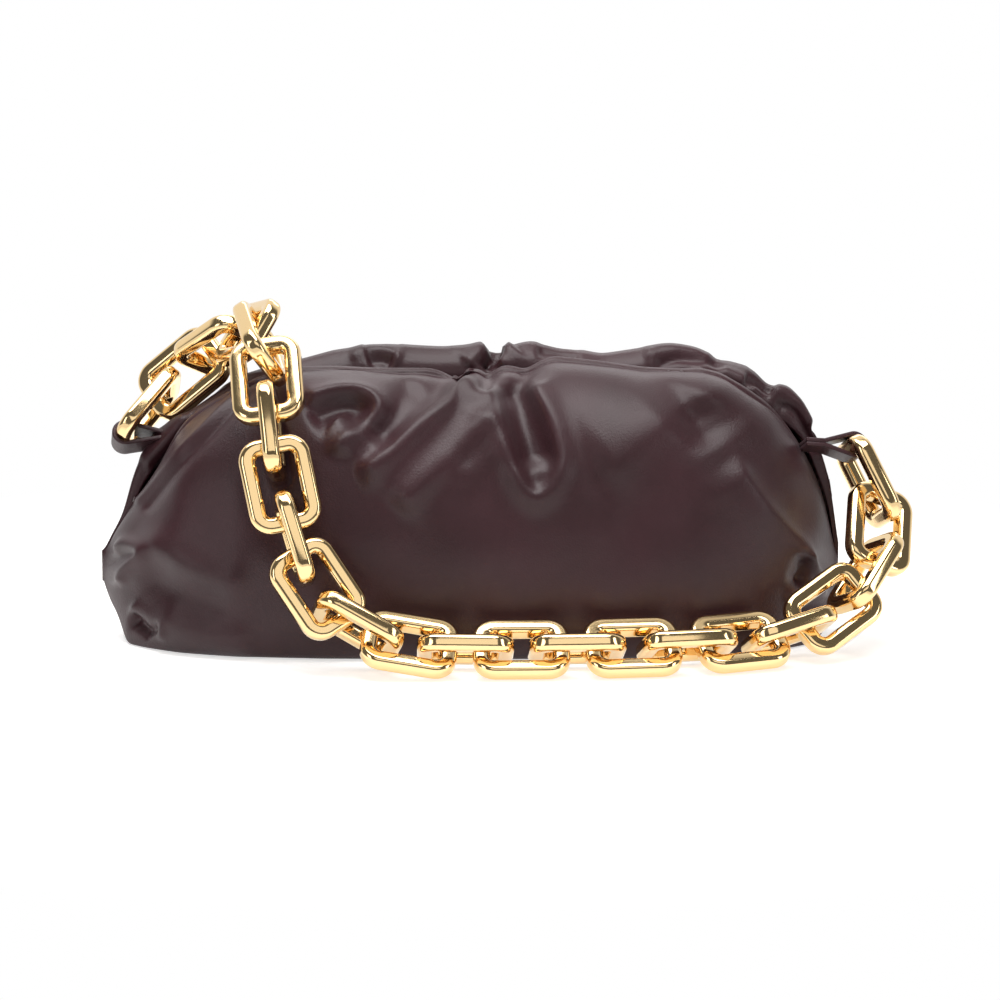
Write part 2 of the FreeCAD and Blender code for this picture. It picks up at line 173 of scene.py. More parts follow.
def width_places(columns):
    """Places along the width, closer together towards the rounded ends."""
    share = np.linspace(-1.0, 1.0, columns)
    return HALF_WIDTH * (EVEN_SHARE * share + (1 - EVEN_SHARE) * np.sin(share * math.pi / 2))


def rim_line(pixels, y):
    """A rim as a table of (place, height) below the top of its rolled lip."""
    places = from_picture(pixels, y)
    line = [(x, z - LIP_RISE) for x, _, z in places]
    return [(-HALF_WIDTH, LEFT_END_HEIGHT)] + line + [(HALF_WIDTH, RIGHT_END_HEIGHT)]


FRONT_RIM = rim_line(FRONT_RIM_PIXELS, FRONT_RIM_Y)
BACK_RIM = rim_line(BACK_RIM_PIXELS, BACK_RIM_Y)
print("rims through", len(FRONT_RIM), "and", len(BACK_RIM), "points")

# %% [markdown]
# ## One half of the pouch as a grid
#
# A grid of points is the simplest net to fold: one direction runs along the width, the
# other climbs from the base edge over the belly to the rim and then rolls over the rim
# and down inside.  The quarter ellipses below and above the belly give the bulge.  The
# front and the back half use the same function with their own rim and roll.  The notches
# of a rim stay near it, and at the two ends the halves close on each other.

# %% Grid of one half
COLUMNS = 520
LOW_ROWS = 36
HIGH_ROWS = 120
LIP_ROWS = 22
RIM_SOFT = 1.9
BELLY_SOFT = 2.0
UNDERSIDE_SOFT = 0.8
CALM_HALF = 118.0
CALM_FADE = 30.0
CALM_RIM = 9.0
NOTCH_POWER = 9.0
LOW_POWER = 0.75
HIGH_POWER = 1.02
END_POWER = 8
END_CLOSE = 40.0
END_REACH = 5.0
LEAST_HEIGHT = 0.5
MOUTH_SHARE = 0.8
LIP_HANG_SHARE = 0.8
FRONT_REACH = 9.4
BACK_REACH = 19.0
FRONT_LIP = [
    (0, 0), (1.0, 1.3), (2.8, 2.1), (5.2, 1.6), (7.0, -0.2), (7.9, -3.0), (8.4, -8.0), (8.5, -16.0)]
BACK_LIP = [
    (0, 0), (2.2, 1.5), (5.5, 2.2), (9.5, 1.6), (13.0, -0.6), (16.0, -3.6), (17.6, -8.0), (18.0, -16.0)]
TINY = 1e-9


def smooth_step(value):
    """Zero up to 0, one from 1 on, and a soft rise between."""
    value = np.clip(value, 0.0, 1.0)
    return value * value * (3 - 2 * value)


def half_grid(side, rim_rows, rim_reach, lip):
    """side is -1 for the front; lip is a list of (inward, upward) steps from the rim."""
    x = width_places(COLUMNS)
    fade = 1.0 - np.abs(x / HALF_WIDTH) ** END_POWER
    rim = along_width(x, rim_rows, RIM_SOFT)
    calm = smooth_step((CALM_HALF - np.abs(x)) / CALM_FADE)
    soft_rim = rim + (along_width(x, rim_rows, CALM_RIM) - rim) * calm
    notch = rim - soft_rim
    belly = along_width(x, BELLY, BELLY_SOFT) * np.sqrt(np.clip(fade, 0.0, 1.0))
    low = np.minimum(along_width(x, UNDERSIDE, UNDERSIDE_SOFT), rim - LEAST_HEIGHT)
    middle = low + (soft_rim - low) * BELLY_SHARE
    closing = smooth_step((HALF_WIDTH - np.abs(x)) / END_CLOSE)
    mouth = np.minimum(rim_reach * closing, belly * MOUTH_SHARE)
    rows = []
    for angle in np.linspace(-math.pi / 2, 0.0, LOW_ROWS, endpoint=False):
        bulge = math.cos(angle) ** LOW_POWER
        y = belly * (BASE_SHARE + (1 - BASE_SHARE) * bulge)
        rows.append((y, middle + (middle - low) * math.sin(angle)))
    for angle in np.linspace(0.0, math.pi / 2, HIGH_ROWS):
        y = mouth + (belly - mouth) * math.cos(angle) ** HIGH_POWER
        rise = math.sin(angle)
        z = middle + (soft_rim - middle) * rise ** HIGH_POWER + notch * rise ** NOTCH_POWER
        rows.append((y, z))
    steps = np.array(lip, float)
    travel = np.linspace(0, len(steps) - 1, LIP_ROWS + 1)[1:]
    shrink = np.clip(mouth / rim_reach, 0.0, 1.0)
    for inward, upward in zip(np.interp(travel, range(len(steps)), steps[:, 0]),
                              np.interp(travel, range(len(steps)), steps[:, 1])):
        hang = shrink if upward > 0 else np.maximum(shrink, LIP_HANG_SHARE)
        rows.append((mouth - inward * shrink, rim + upward * hang))
    grid = np.zeros((len(rows), COLUMNS, 3))
    for number, (y, z) in enumerate(rows):
        grid[number, :, 0] = x
        grid[number, :, 1] = side * y
        grid[number, :, 2] = z
    return grid


def outward(grid, side):
    """Unit normals that point away from the bag, turned along the width at its two tips."""
    down = np.gradient(grid, axis=0)
    along = np.gradient(grid, axis=1)
    normal = np.cross(along, down) * (1 if side < 0 else -1)
    normal /= np.maximum(np.linalg.norm(normal, axis=-1, keepdims=True), TINY)
    straight = np.zeros_like(grid)
    straight[..., 0] = np.sign(grid[..., 0])
    ending = np.clip((np.abs(grid[..., :1]) - HALF_WIDTH + END_REACH) / END_REACH, 0.0, 1.0)
    normal = normal * (1 - ending) + straight * ending
    return normal / np.maximum(np.linalg.norm(normal, axis=-1, keepdims=True), TINY)


front = half_grid(-1, FRONT_RIM, FRONT_REACH, FRONT_LIP)
back = half_grid(1, BACK_RIM, BACK_REACH, BACK_LIP)
print("front grid", front.shape, "highest %.1f mm" % front[..., 2].max())

# %% [markdown]
# ## Folds
#
# Leather that is gathered at a mouth does not wrinkle at random.  Each fold starts at a
# pinch on the rim, runs down along the pull and dies out on the belly.  A fold is a line
# with a height and two widths: the soft side slopes away and the steep side drops.  Here
# each line is a few points on the picture, and a point of the grid moves out along its
# normal by what the nearest part of the line says.  A cloth simulation would also make
# folds, but not these, and the folds are what makes this bag itself.

# %% Fold lines of the front
# Name, height in mm, width to the right and left in pixels, share that fades at an end, pixels
FRONT_FOLDS = [
    ("peak ridge", 6.5, 17, 7, 0.12,
     [(480, 366), (464, 379), (442, 400), (416, 422), (390, 448), (368, 467), (352, 474)]),
    ("crease beside peak", -3.2, 6, 15, 0.20,
     [(455, 382), (434, 398), (410, 417), (390, 435), (374, 450)]),
    ("second ridge", 4.6, 15, 15, 0.16,
     [(490, 396), (484, 418), (464, 442), (436, 468), (408, 496), (392, 512)]),
    ("between ridges", -1.4, 12, 12, 0.40,
     [(484, 430), (472, 450), (452, 468)]),
    ("third ridge", 2.2, 14, 10, 0.35,
     [(498, 424), (492, 448), (472, 470), (444, 488)]),
    ("hook ridge", 4.8, 13, 8, 0.12,
     [(300, 405), (318, 394), (340, 388), (361, 389), (374, 397), (378, 409), (367, 422), (349, 434),
      (337, 447), (333, 460)]),
    ("hook hollow", -4.6, 13, 13, 0.20,
     [(308, 424), (330, 412), (350, 408), (356, 414), (342, 428)]),
    ("valley right of hook", -2.6, 12, 12, 0.20,
     [(418, 378), (402, 398), (388, 420), (366, 442)]),
    ("pleat edge", 4.8, 6, 15, 0.05,
     [(490, 380), (497, 404), (504, 428), (511, 452), (519, 476), (527, 489), (537, 495), (548, 489),
      (557, 475), (560, 458), (555, 436), (547, 414), (537, 394), (529, 376)]),
    ("pleat hollow", -5.8, 16, 15, 0.20,
     [(508, 374), (517, 404), (527, 432), (534, 456), (537, 474)]),
    ("right shoulder", 4.6, 24, 38, 0.30,
     [(688, 402), (668, 417), (642, 438), (615, 460), (586, 478)]),
    ("shoulder hollow", -3.4, 30, 15, 0.40,
     [(688, 398), (700, 426), (716, 454)]),
    ("shoulder crease", 1.8, 16, 11, 0.35,
     [(640, 366), (666, 375), (692, 387), (716, 400), (740, 416)]),
    ("long soft fold", 4.2, 10, 30, 0.20,
     [(730, 452), (760, 496), (786, 526), (808, 548), (828, 568)]),
    ("below shoulder", -1.8, 26, 26, 0.30,
     [(720, 486), (660, 508), (600, 524)]),
    ("corner pinch", -6.0, 8, 6, 0.15,
     [(806, 556), (798, 570), (795, 586)]),
    ("corner ridge", 3.0, 6, 5, 0.15,
     [(806, 552), (820, 571), (836, 589)]),
    ("corner lower ridge", 3.0, 6, 6, 0.15,
     [(784, 602), (806, 593), (834, 592)]),
    ("corner groove", -2.5, 5, 5, 0.20,
     [(790, 612), (812, 602), (834, 602)]),
    ("seam bead", 1.6, 4, 5, 0.06,
     [(246, 384), (222, 404), (196, 432), (168, 462), (144, 492), (132, 506)]),
    ("seam groove", -1.6, 5, 4, 0.06,
     [(256, 390), (232, 412), (206, 440), (178, 470), (154, 500), (142, 514)]),
    ("left sheen fold", 3.6, 16, 13, 0.20,
     [(134, 528), (160, 548), (204, 576), (256, 594)]),
    ("left dip", -2.2, 18, 16, 0.25,
     [(140, 566), (180, 592), (232, 610)]),
    ("left low fold", 2.8, 14, 14, 0.20,
     [(150, 604), (174, 624), (214, 638), (262, 646)]),
    ("left end roll", 4.2, 7, 9, 0.12,
     [(106, 552), (120, 543), (134, 546), (139, 555), (129, 564), (118, 576), (117, 588)]),
    ("left end slot", -5.5, 6, 6, 0.15,
     [(130, 617), (143, 622), (156, 635)]),
    ("left end crease", 2.8, 6, 5, 0.15,
     [(128, 604), (145, 618), (158, 630), (157, 643)]),
    ("behind chain", -1.6, 16, 16, 0.25,
     [(250, 452), (264, 500), (286, 548), (316, 590)]),
    ("belly ease", 1.8, 60, 50, 0.30,
     [(420, 560), (520, 575), (640, 570)]),
]
# Fold lines on the part of the back half that leans over the mouth
ROLL_FOLDS = [
    ("left oval rim", 1.6, 5, 5, 0.15, [(352, 364), (358, 353), (374, 349), (392, 353), (404, 363)]),
    ("left oval hollow", -3.2, 9, 9, 0.20, [(366, 362), (380, 358), (394, 364)]),
    ("middle notch", -6.0, 5, 6, 0.10, [(500, 346), (493, 357), (485, 370)]),
    ("left of notch", 2.0, 5, 10, 0.15, [(486, 344), (478, 354), (466, 366)]),
    ("right of notch", 2.5, 12, 5, 0.15, [(514, 344), (505, 355), (498, 366)]),
    ("bump crease", -2.2, 6, 6, 0.20, [(534, 350), (558, 352), (582, 360)]),
    ("right gather one", 2.0, 6, 6, 0.15, [(640, 358), (664, 350), (692, 352), (716, 362)]),
    ("right gather two", -2.4, 5, 5, 0.15, [(652, 368), (676, 358), (702, 360), (728, 370)]),
    ("right gather three", 1.8, 5, 5, 0.15, [(690, 370), (716, 370), (742, 380), (764, 394)]),
    ("right pinch", -3.5, 5, 5, 0.15, [(742, 380), (760, 384), (776, 392)]),
    ("right end gather", 2.0, 5, 5, 0.15, [(768, 392), (788, 392), (804, 406), (812, 430)]),
    ("right end groove", -2.2, 5, 5, 0.15, [(772, 404), (792, 410), (806, 432), (816, 454)]),
    ("left roll fold", 2.0, 6, 6, 0.15, [(191, 412), (166, 442), (141, 467)]),
    ("left roll groove", -1.8, 5, 5, 0.15, [(200, 418), (176, 446), (150, 476)]),
]
LINE_STEP = 2.0
SKIRT_SHARE = 0.2
SKIRT_WIDTH = 2.2
MARGIN_WIDTHS = 1.3


def smooth_line(points):
    """A Catmull-Rom curve through the points of a fold line, read every few pixels."""
    points = np.array(points, float)
    run = np.vstack([2 * points[0] - points[1], points, 2 * points[-1] - points[-2]])
    stretches = []
    for a, b, c, d in zip(run, run[1:], run[2:], run[3:]):
        count = max(2, int(np.linalg.norm(c - b) / LINE_STEP))
        t = np.linspace(0.0, 1.0, count, endpoint=False)[:, None]
        bend = (2 * a - 5 * b + 4 * c - d) * t ** 2 + (3 * b - a - 3 * c + d) * t ** 3
        stretches.append(b + ((c - a) * t + bend) / 2)
    return np.vstack(stretches + [points[-1:]])


def fold_heights(pixels, folds):
    """How far each point moves out, in millimetres; right is right of a line drawn down."""
    flat = pixels.reshape(-1, 2)
    total = np.zeros(len(flat))
    for _, height, right, left, fade, points in folds:
        line = smooth_line(points)
        along = np.gradient(line, axis=0)
        along /= np.linalg.norm(along, axis=1, keepdims=True)
        margin = MARGIN_WIDTHS * SKIRT_WIDTH * max(right, left)
        near = np.all((flat > line.min(0) - margin) & (flat < line.max(0) + margin), axis=1)
        gaps = flat[near][:, None] - line[None]
        nearest = (gaps ** 2).sum(axis=2).argmin(axis=1)
        gap = gaps[np.arange(len(gaps)), nearest]
        way = along[nearest]
        side = way[:, 1] * gap[:, 0] - way[:, 0] * gap[:, 1]
        at_end = (nearest == 0) | (nearest == len(line) - 1)
        distance = np.where(at_end, np.linalg.norm(gap, axis=1), np.abs(side))
        travelled = (nearest + (way * gap).sum(axis=1) / LINE_STEP) / (len(line) - 1)
        width = np.where(side > 0, right, left)
        ends = smooth_step(travelled / fade) * smooth_step((1 - travelled) / fade)
        core = np.exp(-(distance / width) ** 2)
        skirt = np.exp(-(distance / (width * SKIRT_WIDTH)) ** 2)
        total[near] += height * ends * ((1 - SKIRT_SHARE) * core + SKIRT_SHARE * skirt)
    return total.reshape(pixels.shape[:-1])


print(len(FRONT_FOLDS) + len(ROLL_FOLDS), "fold lines")

# %% [markdown]
# ## Folding the front and the back
#
# The front takes its folds from the picture, and reads them twice.  The first reading says
# roughly how far the leather moves, and the second asks where the moved leather falls on
# the picture, so that each fold shows where it was seen.  Nobody sees the back there, so it
# gets only the front's broad folds, turned round and wider, as a bag gathered on one frame
# has on both sides.  A little slow unevenness keeps any stretch from being perfectly smooth.

# %% Fold the two halves
AIM_BLUR = 30
BACK_NAMES = (
    "peak ridge", "second ridge", "third ridge", "right shoulder", "shoulder hollow",
    "shoulder crease", "long soft fold", "below shoulder", "left sheen fold", "left dip",
    "left low fold", "belly ease")
BACK_SPREAD = 1.5
BACK_FADE = 0.35
END_CALM = 13.0
FLOOR_ROWS = 14.0
FRONT_UNEVEN = 0.35
BACK_UNEVEN = 0.4
TURNED_ROUND = np.array([-1.0, -1.0, 1.0])
ALL_ROWS = LOW_ROWS + HIGH_ROWS + LIP_ROWS
RIM_ROW = LOW_ROWS + HIGH_ROWS - 1
# Rows between which a move dies out
FRONT_FOLD_ROWS = (RIM_ROW - 1, RIM_ROW + 9)
FRONT_WAVE_ROWS = (RIM_ROW - 8, RIM_ROW)
BACK_FOLD_ROWS = (RIM_ROW - 30, RIM_ROW - 8)
ROLL_START_ROWS = (RIM_ROW - 14, RIM_ROW - 4)
BACK_WAVE_ROWS = (RIM_ROW + 10, RIM_ROW + 18)
# Millimetres to a radian in the waves of the slow unevenness
SWAY_X, SWAY_Z, SWAY_SHARE = 17.0, 13.0, 1.3
CROSS_X, CROSS_Z = 29.0, 11.0
SHORT_X, SHORT_Y, SHORT_Z, SHORT_SHARE = 9.0, 12.0, 7.0, 0.6
SLOW_X, SLOW_Z = 23.0, 19.0


def uneven(grid, amount):
    """Slow waves about 40 to 180 mm long."""
    x, y, z = grid[..., 0], grid[..., 1], grid[..., 2]
    sway = np.sin(x / SWAY_X + SWAY_SHARE * np.sin(z / SWAY_Z))
    waves = sway * np.sin(z / CROSS_Z + x / CROSS_X)
    short = np.sin(x / SHORT_X - z / SHORT_Z + y / SHORT_Y)
    waves += SHORT_SHARE * short * np.sin(x / SLOW_X + z / SLOW_Z)
    return amount * waves


def row_weight(start, stop):
    """One up to row start and falling to zero at row stop."""
    return 1.0 - smooth_step((np.arange(ALL_ROWS) - start) / (stop - start))[:, None]


def soften(field, rounds):
    """A field over the grid, blurred by averaging each point with its four neighbours."""
    for _ in range(rounds):
        padded = np.pad(field, 1, mode="edge")
        around = padded[:-2, 1:-1] + padded[2:, 1:-1] + padded[1:-1, :-2] + padded[1:-1, 2:]
        field = field / 2 + around / 8
    return field


front_normal = outward(front, -1)
front_rows = row_weight(*FRONT_FOLD_ROWS)
first_move = fold_heights(on_picture(front), FRONT_FOLDS) * front_rows
aimed = front + front_normal * soften(first_move, AIM_BLUR)[..., None]
front_move = fold_heights(on_picture(aimed), FRONT_FOLDS) * front_rows
front_move += uneven(front, FRONT_UNEVEN) * row_weight(*FRONT_WAVE_ROWS)
end_fade = smooth_step((HALF_WIDTH - np.abs(front[..., 0])) / END_CALM)
floor_fade = smooth_step(np.arange(ALL_ROWS) / FLOOR_ROWS)[:, None]
front_folded = front + front_normal * (front_move * end_fade * floor_fade)[..., None]

back_normal = outward(back, 1)
turned = on_picture(back * TURNED_ROUND)
back_folds = [(name, height, right * BACK_SPREAD, left * BACK_SPREAD, BACK_FADE, points)
              for name, height, right, left, _, points in FRONT_FOLDS if name in BACK_NAMES]
back_move = fold_heights(turned, back_folds) * row_weight(*BACK_FOLD_ROWS)
back_move += fold_heights(on_picture(back), ROLL_FOLDS) * (1 - row_weight(*ROLL_START_ROWS))
back_move += uneven(back, BACK_UNEVEN) * row_weight(*BACK_WAVE_ROWS)
back_folded = back + back_normal * (back_move * end_fade * floor_fade)[..., None]
print("front moves %.1f to %.1f mm" % (front_move.min(), front_move.max()))

# %% [markdown]
# ## Leather gives way to the chain
#
# The chain lies against the leather, and the heavier of the two wins.  Each link is taken
# as a rounded block that is as long, wide and thick as the link, and a point of the leather
# that comes too close to a block goes back into the bag along its normal.  The dents are
# then softened at their borders, because leather bridges a corner and doesn't follow it.
# Behind the left shoulder the first links also get room to swing back on their tab.

# %% Press the leather back under the chain
CHAIN_CLEARANCE = 1.6
LINK_EDGE = 2.0
LOOK_ROUND = 15.0
PRESS_ROUNDS = 7
PRESS_SHARE = 0.8
DENT_BLUR = 12
RELAX_ROUNDS = 9
SWING_STEPS = 4
SWINGING_LINKS = 3
SWING_CLEARANCE = 0.5


def link_axes(node):
    """Centre, three directions and half sizes of a link: length, bar and face."""
    points = np.array([vertex.co for vertex in node.data.vertices]) / MM
    mean = points.mean(0)
    _, axes = np.linalg.eigh(np.cov((points - mean).T))
    axes = axes[:, ::-1]
    along = (points - mean) @ axes
    low, high = along.min(0), along.max(0)
    return mean + axes @ ((low + high) / 2), axes, (high - low) / 2


link_nodes = [frame["nodes"][name] for name in sorted(frame["nodes"]) if name.startswith("link_")]
link_blocks = [link_axes(node) for node in link_nodes]
first_swing = next(joint for joint in frame["joints"] if joint["name"] == "link_01_swing")
pivot = np.array(first_swing["pos_m"]) / MM
swung_blocks = []
for step in range(1, SWING_STEPS + 1):
    degrees = first_swing["range_deg"][1] * step / SWING_STEPS
    turn = np.array(Matrix.Rotation(math.radians(degrees), 3, Vector(first_swing["axis"])))
    for centre, axes, half in link_blocks[:SWINGING_LINKS]:
        swung_blocks.append((pivot + turn @ (centre - pivot), turn @ axes, half))


def press_back(grid, normal, blocks, clearance):
    """The grid with each point moved inward until every link clears it."""
    depth = np.zeros(grid.shape[:2])
    for centre, axes, half in blocks:
        near = np.linalg.norm(grid - centre, axis=-1) < np.linalg.norm(half) + LOOK_ROUND
        spots, inward = grid[near], normal[near]
        pushed = depth[near]
        for _ in range(PRESS_ROUNDS):
            beyond = np.abs((spots - inward * pushed[:, None] - centre) @ axes) - half + LINK_EDGE
            gap = np.linalg.norm(np.maximum(beyond, 0.0), axis=1)
            gap += np.minimum(beyond.max(axis=1), 0.0) - LINK_EDGE
            pushed = pushed + np.maximum(clearance - gap, 0.0) * PRESS_SHARE
        depth[near] = pushed
    depth = np.maximum(depth, soften(depth, DENT_BLUR))
    return grid - normal * depth[..., None], depth


def relax(grid, rounds, rows):
    """Evens out neighbouring points below a row, keeping the borders."""
    for _ in range(rounds):
        inner = grid[1:rows, 1:-1]
        beside = grid[1:rows, :-2] + grid[1:rows, 2:]
        mean = (grid[0:rows - 1, 1:-1] + grid[2:rows + 1, 1:-1] + beside) / 4
        grid[1:rows, 1:-1] = (inner + mean) / 2


relax(front_folded, RELAX_ROUNDS, RIM_ROW)
relax(back_folded, RELAX_ROUNDS, RIM_ROW)
front_folded, front_dent = press_back(front_folded, front_normal, link_blocks, CHAIN_CLEARANCE)
back_folded, back_dent = press_back(back_folded, back_normal, link_blocks, CHAIN_CLEARANCE)
back_folded, room = press_back(back_folded, back_normal, swung_blocks, SWING_CLEARANCE)
print("deepest dent in front %.1f mm, behind %.1f mm" % (front_dent.max(), back_dent.max()))
print("room for the swinging links up to %.1f mm" % room.max())

# %% [markdown]
# ## From grid to mesh
#
# Each grid becomes quads in one go.  The Solidify modifier gives the leather its real
# thickness on the inner side, so that a rim shows as an edge and not as a paper cut.

# %% Mesh from a grid
def smooth_piece(name, points, corners, flip):
    """An object with smooth shading from points in millimetres and the four corners of each face."""
    quads = np.stack(corners, axis=-1).reshape(-1, 4)
    if flip:
        quads = quads[:, ::-1]
    mesh = bpy.data.meshes.new(name)
    mesh.from_pydata((points.reshape(-1, 3) * MM).tolist(), [], quads.tolist())
    mesh.update()
    mesh.polygons.foreach_set("use_smooth", np.ones(len(mesh.polygons), bool))
    piece = bpy.data.objects.new(name, mesh)
    scene.collection.objects.link(piece)
    return piece


def grid_mesh(name, grid, flip, body=None):
    """A sheet over a grid; without a body it stays unattached."""
    rows, columns = grid.shape[:2]
    index = np.arange(rows * columns).reshape(rows, columns)
    corners = (index[:-1, :-1], index[:-1, 1:], index[1:, 1:], index[1:, :-1])
    piece = smooth_piece(name, grid, corners, flip)
    if body:
        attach(piece, body)
    return piece


def thicken(piece, thickness):
    """Gives a sheet its thickness on the inner side and returns the modifier."""
    solid = piece.modifiers.new("leather_thickness", "SOLIDIFY")
    solid.thickness = thickness * MM
    solid.offset = -1.0
    return solid


def thin_out(piece, solid, reach):
    """Lets the thickness go to nothing at the two tips, where front and back leather meet."""
    group = piece.vertex_groups.new(name="thickness_share")
    for vertex in piece.data.vertices:
        share = smooth_step((HALF_WIDTH * MM - abs(vertex.co.x)) / (reach * MM))
        group.add([vertex.index], float(share), "REPLACE")
    solid.vertex_group = group.name


LEATHER = 1.4
front_leather = grid_mesh("front_leather", front_folded, False, "pouch")
back_leather = grid_mesh("back_leather", back_folded, True)
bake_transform(back_leather)
for piece in (front_leather, back_leather):
    thin_out(piece, thicken(piece, LEATHER), END_CALM)
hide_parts("front_panel", "front_hem")
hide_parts("back_panel", "back_gathers", "back_hem")
print("front", len(front_leather.data.polygons), "back", len(back_leather.data.polygons), "quads")

# %% [markdown]
# ## The base
#
# The base is one flat panel under the board.  It joins the lower edges of the two halves,
# so it is made from those edges and cannot leave a gap.

# %% Base panel
BASE_ROWS = 15
share = np.linspace(0.0, 1.0, BASE_ROWS)[:, None, None]
base_grid = front_folded[0][None] * (1 - share) + back_folded[0][None] * share
base_leather = grid_mesh("base_leather", base_grid, True, "pouch")
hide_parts("base_panel")
print("base %.0f mm deep at the middle" % np.ptp(base_grid[:, COLUMNS // 2, 1]))

# %% [markdown]
# ## The lining
#
# Inside is a plain woven lining.  It only shows when the mouth is open, so it follows the
# leather a few millimetres further in, with fewer points.

# %% Lining
LINING_GAP = 2.6
LINING_FIRST_ROW = 2
LINING_LAST_ROW = RIM_ROW - 12
LINING_ROW_STEP = 4
LINING_END = 6
LINING_COLUMN_STEP = 5


def lining_grid(grid, normal):
    """Some rows and columns of a leather grid, moved into the bag."""
    inner = grid - normal * LINING_GAP
    rows = np.r_[LINING_FIRST_ROW:LINING_LAST_ROW:LINING_ROW_STEP, LINING_LAST_ROW]
    columns = np.r_[LINING_END:COLUMNS - LINING_END:LINING_COLUMN_STEP]
    return inner[np.ix_(rows, columns)]


front_lining = grid_mesh("front_lining", lining_grid(front_folded, front_normal), True, "pouch")
back_lining = grid_mesh("back_lining", lining_grid(back_folded, back_normal), False)
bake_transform(back_lining)
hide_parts("lining_front")
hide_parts("lining_back", "lining_back_top")
print("lining", len(front_lining.data.polygons) + len(back_lining.data.polygons), "quads")

# %% [markdown]
# ## The two tabs
#
# A narrow strap of the same leather goes round the end bar of the chain and back into the
# end of the bag.  The bar is found on the link itself, by the directions measured above.
# From the end the strap is a drop: round on the bar, straight where its two sides close.

# %% Tabs
TAB_WIDTH = 11.0
TAB_LEATHER = 1.8
TAB_HIDDEN = 8.0
TAB_EDGE = 0.45
TAB_COLUMNS = 13
LOOP = 4.7
LOOP_POINTS = 33
SIDE_POINTS = 8
LEFT_REACH = 17.0
RIGHT_REACH = 13.0


def tab(name, node_name, link_name, inward, reach):
    """A strap looped round the end bar of a link, its two ends laid together into the bag."""
    centre, axes, half = link_axes(frame["nodes"][link_name])
    length, bar, _ = axes.T
    low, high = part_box(node_name)
    seat = (np.array(low) + np.array(high)) / 2 / MM
    ends = [centre + length * sign * (half[0] - half[2]) for sign in (-1, 1)]
    middle = min(ends, key=lambda place: np.linalg.norm(place - seat))
    tail = np.array(inward, float)
    tail -= bar * tail.dot(bar)
    tail /= np.linalg.norm(tail)
    up = np.cross(bar, tail)
    touch = math.acos(LOOP / reach)
    path = [(LOOP * math.cos(angle), LOOP * math.sin(angle))
            for angle in np.linspace(touch, 2 * math.pi - touch, LOOP_POINTS)]
    meeting = np.array([reach, TAB_LEATHER / 2])
    to_loop = np.array(path[0]) - meeting
    side = [tuple(meeting + to_loop * step / SIDE_POINTS) for step in range(SIDE_POINTS)]
    side = [(reach + TAB_HIDDEN, TAB_LEATHER / 2)] + side
    path = side + path + [(along, -above) for along, above in side[::-1]]
    across = np.linspace(-0.5, 0.5, TAB_COLUMNS)
    grid = np.zeros((len(path), len(across), 3))
    for row, (along, above) in enumerate(path):
        grid[row] = middle + tail * along + up * above + np.outer(across * TAB_WIDTH, bar)
    piece = grid_mesh(name, grid, False, "pouch")
    solid = thicken(piece, TAB_LEATHER)
    solid.offset = 0.0
    edge = piece.modifiers.new("rounded_edge", "BEVEL")
    edge.width = TAB_EDGE * MM
    edge.segments = 2
    edge.limit_method = "ANGLE"
    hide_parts(node_name)
    return piece


left_tab = tab("left_tab_strap", "tab_left", "link_01", (1, 0, 0), LEFT_REACH)
right_tab = tab("right_tab_strap", "tab_right", link_nodes[-1].name, (-1, 0, 0), RIGHT_REACH)
print("tabs made for", "link_01 and", link_nodes[-1].name)

# %% [markdown]
# ## The chain links
#
# A link of this chain is a squared ring with round corners, cast and then polished, so no
# edge on it is sharp.  The solid model has the same ring with cut corners, which is what
# moves and collides.  Here each ring is swept: a rounded square goes once round a rounded
# rectangle that has the length, width and thickness measured on the link it stands for.

# %% Links
LINK_CORNER = 9.0
BAR_EDGE = 2.5
ARC_STEPS = 9


def rounded_rectangle(half_long, half_wide, radius):
    """Points and outward directions once round a rectangle with round corners."""
    points, directions = [], []
    corners = ((1, 1), (-1, 1), (-1, -1), (1, -1))
    for number, (right, up) in enumerate(corners):
        for angle in np.linspace(number, number + 1, ARC_STEPS + 1) * math.pi / 2:
            way = (math.cos(angle), math.sin(angle))
            directions.append(way)
            points.append((right * (half_long - radius) + radius * way[0],
                           up * (half_wide - radius) + radius * way[1]))
    return np.array(points), np.array(directions)


def chain_link(node):
    """A swept ring in the place of one link of the solid model."""
    centre, axes, half = link_axes(node)
    bar = half[2]
    ring, out = rounded_rectangle(half[0] - bar, half[1] - bar, LINK_CORNER - bar)
    section, _ = rounded_rectangle(bar, bar, BAR_EDGE)
    flat = ring[:, None] + out[:, None] * section[None, :, :1]
    rise = np.broadcast_to(section[None, :, 1:], flat.shape[:2] + (1,))
    spots = centre + np.concatenate([flat, rise], axis=2) @ axes.T
    around, sides = spots.shape[:2]
    index = np.arange(around * sides).reshape(around, sides)
    over, beside = np.roll(index, -1, axis=0), np.roll(index, -1, axis=1)
    corners = (index, over, np.roll(over, -1, axis=1), beside)
    piece = smooth_piece("chain_" + node.name, spots, corners, np.linalg.det(axes) > 0)
    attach(piece, node.name)
    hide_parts(node.name)
    return piece


chain_links = [chain_link(node) for node in link_nodes]
print(len(chain_links), "links of", len(chain_links[0].data.polygons), "quads")

# %% [markdown]
# ## Materials
#
# Colours are written as sRGB hex, as a colour picker shows them, and one function turns
# them into the linear numbers that the renderer adds up.  Another small function adds a
# node, sets it and links it, and the rest build on that one.

# %% Helpers for materials
def linear(code):
    """Linear red, green, blue and alpha of an sRGB hex colour."""
    channels = [int(code[place:place + 2], 16) / 255 for place in (1, 3, 5)]
    return [c / 12.92 if c <= 0.04045 else ((c + 0.055) / 1.055) ** 2.4 for c in channels] + [1.0]


